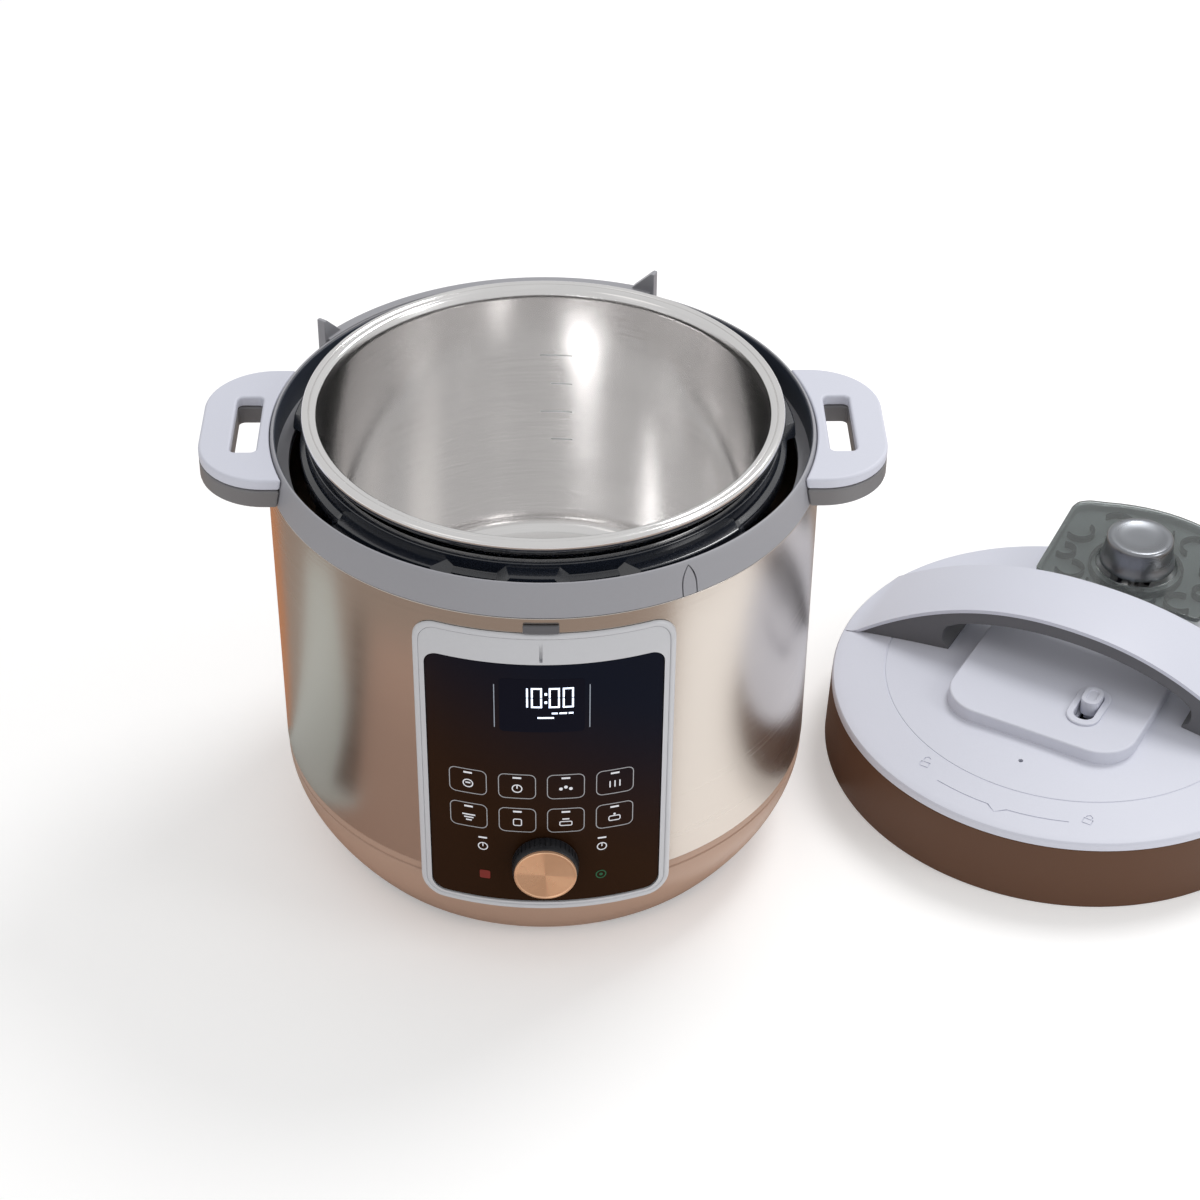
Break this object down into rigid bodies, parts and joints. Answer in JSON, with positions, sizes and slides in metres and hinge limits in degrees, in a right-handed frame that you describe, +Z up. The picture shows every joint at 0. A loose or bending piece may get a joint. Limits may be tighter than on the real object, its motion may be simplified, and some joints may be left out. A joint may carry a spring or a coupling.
{
  "type": "electric pressure cooker",
  "caption": "Round electric pressure cooker with side handles, front control panel, inner pot and a separate bayonet lid lying beside it.",
  "frame": {"origin": "centre of the underside of the base's bottom plate, on the axis of the pot; the table is 4 mm lower, under the feet", "axes": "+Z up, +X to the right as seen from the control panel, towards the lid; the control panel faces -Y"},
  "size_m": [0.5931, 0.3335, 0.251],
  "materials": {
    "grey_plastic": "fine satin moulded plastic, pale lavender grey",
    "taupe_plastic": "satin moulded plastic, warm taupe",
    "warm_plastic": "satin moulded plastic, warm grey-brown",
    "dark_plastic": "satin moulded plastic, dark grey",
    "black_plastic": "black heat-resistant plastic",
    "black_enamel": "black coated steel, semi-gloss",
    "bezel_plastic": "silver-grey painted plastic, satin",
    "panel_glass": "glossy black-brown window with printed keys",
    "brushed_shell": "fine brushed stainless steel",
    "polished_steel": "polished stainless steel",
    "copper_face": "radially spun copper-coloured metal",
    "aluminium": "cast or turned aluminium",
    "brass": "brass",
    "circuit_board": "green lacquered board",
    "silicone": "translucent white silicone",
    "smoked_plastic": "smoked clear plastic, gloss"
  },
  "bodies": {
    "base": {"base_ring": "warm_plastic", "outer_housing": "brushed_shell", "upper_collar": "grey_plastic", "left_handle_top": "grey_plastic", "left_handle_bottom": "taupe_plastic", "right_handle_top": "grey_plastic", "right_handle_bottom": "taupe_plastic", "bottom_plate": "black_plastic", "base_screw_1": "aluminium", "base_screw_2": "aluminium", "base_screw_3": "aluminium", "base_screw_4": "aluminium", "foot_front": "warm_plastic", "foot_right": "warm_plastic", "foot_rear": "warm_plastic", "foot_left": "warm_plastic", "control_bezel": "bezel_plastic", "control_fascia": "panel_glass", "display_module": "black_plastic", "control_board": "circuit_board", "encoder_body": "aluminium", "outer_pot": "black_enamel", "heating_plate": "aluminium", "sensor_spring": "polished_steel", "sensor_seat": "aluminium", "thermal_fuse": "silicone", "power_board": "circuit_board", "power_inlet": "black_plastic", "inlet_pin_live": "brass", "inlet_pin_earth": "brass", "inlet_pin_neutral": "brass", "collector_bracket": "grey_plastic"},
    "encoder": {"encoder_shaft": "brass"},
    "dial": {"dial_body": "black_plastic", "dial_cap": "copper_face"},
    "sensor": {"temperature_sensor": "aluminium"},
    "pot": {"inner_pot": "polished_steel"},
    "collector": {"condensation_collector": "smoked_plastic"},
    "lid_pivot": {"fulcrum_ball": "polished_steel"},
    "seal": {"sealing_ring": "silicone"},
    "seal_rack": {"sealing_ring_rack": "polished_steel"},
    "lid": {"lid_skirt": "taupe_plastic", "lid_cover": "grey_plastic", "lid_dome": "polished_steel", "lid_handle": "grey_plastic", "lid_handle_underside": "dark_plastic", "lid_platform": "grey_plastic", "steam_tray": "grey_plastic", "valve_seat": "silicone", "anti_block_shield": "polished_steel"},
    "slider": {"release_slider": "grey_plastic"},
    "lever": {"release_lever": "polished_steel"},
    "valve": {"steam_release_stem": "polished_steel", "steam_release_knob": "polished_steel"},
    "float": {"float_pin": "polished_steel", "float_cap": "silicone"},
    "cover": {"steam_cover": "smoked_plastic"}
  },
  "joints": [
    {"name": "pot_lift", "type": "slide", "parent": "base", "child": "pot", "axis": [0, 0, 1], "range_m": [0, 0.2]},
    {"name": "sensor_press", "type": "slide", "parent": "base", "child": "sensor", "axis": [0, 0, 1], "range_m": [-0.002, 0], "stiffness_N_per_m": 600, "springref_m": 0.002, "deforming": ["sensor_spring"]},
    {"name": "dial_push", "type": "slide", "parent": "base", "child": "encoder", "axis": [0, 1, 0], "range_m": [0, 0.0005], "stiffness_N_per_m": 6000},
    {"name": "dial_turn", "type": "hinge", "parent": "encoder", "child": "dial", "pos_m": [0, -0.146, 0.0688], "axis": [0, -1, 0], "continuous": true},
    {"name": "collector_slide", "type": "slide", "parent": "base", "child": "collector", "axis": [0, 0, -1], "range_m": [0, 0.05]},
    {"name": "lid_carry", "type": "hinge", "parent": "base", "child": "lid_pivot", "pos_m": [0.23017, 0.02513, 0.2599], "axis": [-0.1086, 0.9941, 0], "range_deg": [-254.86, 0]},
    {"name": "lid_level", "type": "hinge", "parent": "lid_pivot", "child": "seal", "pos_m": [0.2903, 0.0317, 0.0364], "axis": [-0.1086, 0.9941, 0], "range_deg": [0, 254.86]},
    {"name": "lid_yaw", "type": "hinge", "parent": "seal", "child": "seal_rack", "pos_m": [0.2903, 0.0317, 0.0364], "axis": [0, 0, 1], "range_deg": [0, 60.3]},
    {"name": "lid_turn", "type": "hinge", "parent": "seal_rack", "child": "lid", "pos_m": [0.2903, 0.0317, 0.0364], "axis": [0, 0, 1], "range_deg": [-30, 0]},
    {"name": "release_slide", "type": "slide", "parent": "lid", "child": "slider", "axis": [-0.5045, -0.8634, 0], "range_m": [0, 0.009]},
    {"name": "lever_rock", "type": "hinge", "parent": "lid", "child": "lever", "pos_m": [0.2903, 0.0317, 0.0364], "axis": [0.8634, -0.5045, 0], "range_deg": [0, 1.75]},
    {"name": "valve_rise", "type": "slide", "parent": "lid", "child": "valve", "axis": [0, 0, 1], "range_m": [0, 0.0031]},
    {"name": "float_rise", "type": "slide", "parent": "lid", "child": "float", "axis": [0, 0, 1], "range_m": [0, 0.006]},
    {"name": "steam_cover_lift", "type": "slide", "parent": "lid", "child": "cover", "axis": [0, 0, 1], "range_m": [0, 0.08]}
  ],
  "couplings": [
    {"joint": "lid_level", "follows": "lid_carry", "ratio": -1},
    {"joint": "lid_yaw", "follows": "lid_carry", "ratio": -0.2366},
    {"joint": "lever_rock", "follows": "release_slide", "rad_per_m": 3.2967},
    {"joint": "valve_rise", "follows": "release_slide", "ratio": 0.33333}
  ]
}
